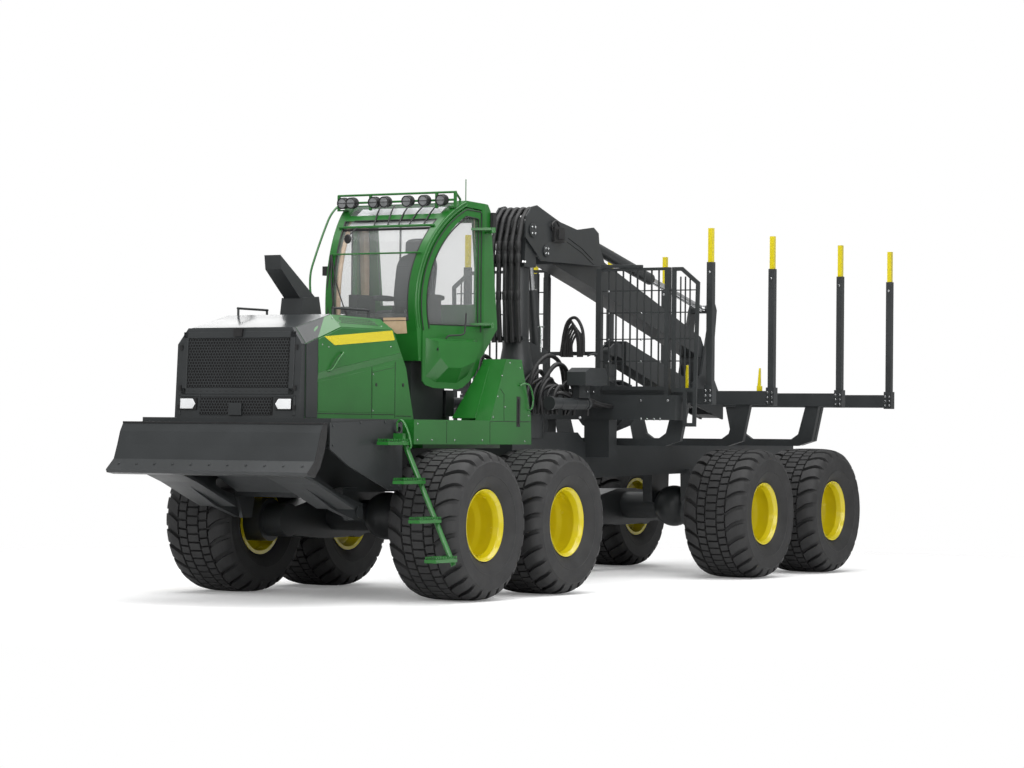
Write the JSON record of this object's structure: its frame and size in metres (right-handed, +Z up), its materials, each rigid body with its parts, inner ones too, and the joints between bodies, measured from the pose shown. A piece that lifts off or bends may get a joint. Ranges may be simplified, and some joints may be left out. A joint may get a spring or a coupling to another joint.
{
  "type": "forestry forwarder",
  "caption": "Articulated forestry forwarder with bogie wheels, a hooded engine, a glazed cab, a stacking blade, a log bunk and a folded loading crane.",
  "frame": {"origin": "on the ground in the middle of the overall box", "axes": "+X forward, +Y to the machine's left, +Z up"},
  "size_m": [11.603, 3.3582, 4.005],
  "materials": {
    "green_paint": "gloss",
    "dark_paint": "satin",
    "yellow_paint": "gloss",
    "tyre_rubber": "matte",
    "rod_chrome": "polished",
    "window_glass": "clear",
    "trim_tan": "matte",
    "black_plastic": "matte",
    "seat_fabric": "woven",
    "lamp_glass": "clear",
    "hose_rubber": "matte",
    "engine_iron": "cast"
  },
  "bodies": {
    "front_frame": {"front_chassis": "dark_paint", "front_axle": "dark_paint", "body_panels": "green_paint", "hood_shell": "green_paint", "hood_roof": "green_paint", "grille": "black_plastic", "engine_block": "engine_iron", "hood_fittings": "black_plastic", "cab_shell": "green_paint", "cab_glass": "window_glass", "cab_interior": "black_plastic", "cab_stand": "dark_paint", "seat": "seat_fabric", "lamps": "black_plastic", "ladder": "green_paint", "roof_bar": "green_paint"},
    "cab_door": {"cab_door": "green_paint", "door_glass": "window_glass"},
    "blade": {"blade": "dark_paint"},
    "blade_barrels": {"blade_barrels": "dark_paint"},
    "blade_rods": {"blade_rods": "rod_chrome"},
    "rear_frame": {"rear_frame": "dark_paint", "rear_axle": "dark_paint", "valve_box": "dark_paint", "bolsters": "dark_paint", "stake_tips": "yellow_paint", "headgate": "dark_paint"},
    "crane_pillar": {"crane_pillar": "dark_paint", "crane_hoses": "hose_rubber"},
    "main_boom": {"main_boom": "dark_paint"},
    "lift_barrel": {"lift_barrel": "dark_paint"},
    "lift_rod": {"lift_rod": "rod_chrome"},
    "outer_boom": {"outer_boom": "dark_paint"},
    "stick_barrel": {"stick_barrel": "dark_paint"},
    "stick_rod": {"stick_rod": "rod_chrome"},
    "extension": {"extension": "dark_paint"},
    "grapple_link": {"grapple_link": "dark_paint"},
    "grapple_head": {"grapple_head": "dark_paint"},
    "claw_left": {"claw_left": "dark_paint"},
    "claw_right": {"claw_right": "dark_paint"},
    "steer_barrel_left": {"steer_barrel_left": "dark_paint"},
    "steer_rod_left": {"steer_rod_left": "rod_chrome"},
    "steer_barrel_right": {"steer_barrel_right": "dark_paint"},
    "steer_rod_right": {"steer_rod_right": "rod_chrome"},
    "wheel_front_1_left": {"tyre_front_1_left": "tyre_rubber", "rim_front_1_left": "yellow_paint"},
    "wheel_front_1_right": {"tyre_front_1_right": "tyre_rubber", "rim_front_1_right": "yellow_paint"},
    "wheel_front_2_left": {"tyre_front_2_left": "tyre_rubber", "rim_front_2_left": "yellow_paint"},
    "wheel_front_2_right": {"tyre_front_2_right": "tyre_rubber", "rim_front_2_right": "yellow_paint"},
    "wheel_rear_1_left": {"tyre_rear_1_left": "tyre_rubber", "rim_rear_1_left": "yellow_paint"},
    "wheel_rear_1_right": {"tyre_rear_1_right": "tyre_rubber", "rim_rear_1_right": "yellow_paint"},
    "wheel_rear_2_left": {"tyre_rear_2_left": "tyre_rubber", "rim_rear_2_left": "yellow_paint"},
    "wheel_rear_2_right": {"tyre_rear_2_right": "tyre_rubber", "rim_rear_2_right": "yellow_paint"}
  },
  "joints": [
    {"name": "articulation", "type": "hinge", "parent": "front_frame", "child": "rear_frame", "pos_m": [1.2, 0, 1.09], "axis": [0, 0, 1], "range_deg": [-40, 40]},
    {"name": "cab_door_hinge", "type": "hinge", "parent": "front_frame", "child": "cab_door", "pos_m": [2.37, 0.895, 2.572], "axis": [0, 0, 1], "range_deg": [0, 80]},
    {"name": "blade_lift", "type": "hinge", "parent": "front_frame", "child": "blade", "pos_m": [4.35, 0, 0.82], "axis": [0, 1, 0], "range_deg": [0, 44]},
    {"name": "blade_barrel_swing", "type": "hinge", "parent": "front_frame", "child": "blade_barrels", "pos_m": [4.56, 0, 1.452], "axis": [0, 1, 0], "range_deg": [0, 42]},
    {"name": "blade_rod_slide", "type": "slide", "parent": "blade_barrels", "child": "blade_rods", "axis": [0.9884, 0, -0.1517], "range_m": [0, 0.51]},
    {"name": "crane_slew", "type": "hinge", "parent": "rear_frame", "child": "crane_pillar", "pos_m": [0.39, 0, 1.9603], "axis": [0, 0, 1], "range_deg": [-6, 6]},
    {"name": "boom_lift", "type": "hinge", "parent": "crane_pillar", "child": "main_boom", "pos_m": [0.42, 0, 3.64], "axis": [0, 1, 0], "range_deg": [0, 80]},
    {"name": "lift_barrel_swing", "type": "hinge", "parent": "crane_pillar", "child": "lift_barrel", "pos_m": [-0.03, 0, 2.35], "axis": [0, 1, 0], "range_deg": [-5, 0]},
    {"name": "lift_rod_slide", "type": "slide", "parent": "lift_barrel", "child": "lift_rod", "axis": [0.1576, 0, 0.9875], "range_m": [0, 0.44]},
    {"name": "outer_boom_fold", "type": "hinge", "parent": "main_boom", "child": "outer_boom", "pos_m": [-3.65, 0, 2.165], "axis": [0, 1, 0], "range_deg": [0, 45.5]},
    {"name": "stick_barrel_swing", "type": "hinge", "parent": "main_boom", "child": "stick_barrel", "pos_m": [-0.936, 0, 3.63], "axis": [0, 1, 0], "range_deg": [-5, 0]},
    {"name": "stick_rod_slide", "type": "slide", "parent": "stick_barrel", "child": "stick_rod", "axis": [-0.9761, 0, -0.2175], "range_m": [-0.62, 0]},
    {"name": "extension_slide", "type": "slide", "parent": "outer_boom", "child": "extension", "axis": [0.9673, 0, 0.2538], "range_m": [0, 1.21]},
    {"name": "grapple_swing", "type": "hinge", "parent": "extension", "child": "grapple_link", "pos_m": [-1.56, 0, 2.44], "axis": [0, 1, 0], "range_deg": [-126, 0]},
    {"name": "rotator", "type": "hinge", "parent": "grapple_link", "child": "grapple_head", "pos_m": [-1.56, 0, 2.18], "axis": [0, 0, 1], "continuous": true},
    {"name": "claw_left_open", "type": "hinge", "parent": "grapple_head", "child": "claw_left", "pos_m": [-1.56, 0.15, 2.0297], "axis": [1, 0, 0], "range_deg": [0, 60]},
    {"name": "claw_right_open", "type": "hinge", "parent": "grapple_head", "child": "claw_right", "pos_m": [-1.56, -0.15, 2.0297], "axis": [1, 0, 0], "range_deg": [-60, 0]},
    {"name": "steer_barrel_swing_left", "type": "hinge", "parent": "rear_frame", "child": "steer_barrel_left", "pos_m": [0.64, 0.39, 1.09], "axis": [0, 0, 1], "range_deg": [-23, 23]},
    {"name": "steer_rod_slide_left", "type": "slide", "parent": "steer_barrel_left", "child": "steer_rod_left", "axis": [0.9937, 0.1123, 0], "range_m": [-0.32, 0.32]},
    {"name": "steer_barrel_swing_right", "type": "hinge", "parent": "rear_frame", "child": "steer_barrel_right", "pos_m": [0.64, -0.39, 1.09], "axis": [0, 0, 1], "range_deg": [-23, 23]},
    {"name": "steer_rod_slide_right", "type": "slide", "parent": "steer_barrel_right", "child": "steer_rod_right", "axis": [0.9937, -0.1123, 0], "range_m": [-0.32, 0.32]},
    {"name": "wheel_spin_front_1_left", "type": "hinge", "parent": "front_frame", "child": "wheel_front_1_left", "pos_m": [3.575, 1.256, 0.7], "axis": [0, 1, 0], "continuous": true},
    {"name": "wheel_spin_front_1_right", "type": "hinge", "parent": "front_frame", "child": "wheel_front_1_right", "pos_m": [3.575, -1.256, 0.7], "axis": [0, 1, 0], "continuous": true},
    {"name": "wheel_spin_front_2_left", "type": "hinge", "parent": "front_frame", "child": "wheel_front_2_left", "pos_m": [2.048, 1.256, 0.7], "axis": [0, 1, 0], "continuous": true},
    {"name": "wheel_spin_front_2_right", "type": "hinge", "parent": "front_frame", "child": "wheel_front_2_right", "pos_m": [2.048, -1.256, 0.7], "axis": [0, 1, 0], "continuous": true},
    {"name": "wheel_spin_rear_1_left", "type": "hinge", "parent": "rear_frame", "child": "wheel_rear_1_left", "pos_m": [-2.285, 1.256, 0.7], "axis": [0, 1, 0], "continuous": true},
    {"name": "wheel_spin_rear_1_right", "type": "hinge", "parent": "rear_frame", "child": "wheel_rear_1_right", "pos_m": [-2.285, -1.256, 0.7], "axis": [0, 1, 0], "continuous": true},
    {"name": "wheel_spin_rear_2_left", "type": "hinge", "parent": "rear_frame", "child": "wheel_rear_2_left", "pos_m": [-4.051, 1.256, 0.7], "axis": [0, 1, 0], "continuous": true},
    {"name": "wheel_spin_rear_2_right", "type": "hinge", "parent": "rear_frame", "child": "wheel_rear_2_right", "pos_m": [-4.051, -1.256, 0.7], "axis": [0, 1, 0], "continuous": true}
  ],
  "couplings": [
    {"joint": "blade_barrel_swing", "follows": "blade_lift", "ratio": 0.938},
    {"joint": "blade_rod_slide", "follows": "blade_lift", "m_per_rad": 0.6514},
    {"joint": "lift_barrel_swing", "follows": "boom_lift", "ratio": -0.0589},
    {"joint": "lift_rod_slide", "follows": "boom_lift", "m_per_rad": 0.3129},
    {"joint": "outer_boom_fold", "follows": "boom_lift", "ratio": 0.5625},
    {"joint": "stick_barrel_swing", "follows": "boom_lift", "ratio": -0.0557},
    {"joint": "stick_rod_slide", "follows": "boom_lift", "m_per_rad": -0.4376},
    {"joint": "extension_slide", "follows": "boom_lift", "m_per_rad": 0.8595},
    {"joint": "grapple_swing", "follows": "boom_lift", "ratio": -1.5625},
    {"joint": "claw_right_open", "follows": "claw_left_open", "ratio": -1},
    {"joint": "steer_barrel_swing_left", "follows": "articulation", "ratio": -0.5617},
    {"joint": "steer_rod_slide_left", "follows": "articulation", "m_per_rad": 0.4444},
    {"joint": "steer_barrel_swing_right", "follows": "articulation", "ratio": -0.5617},
    {"joint": "steer_rod_slide_right", "follows": "articulation", "m_per_rad": -0.4444}
  ]
}
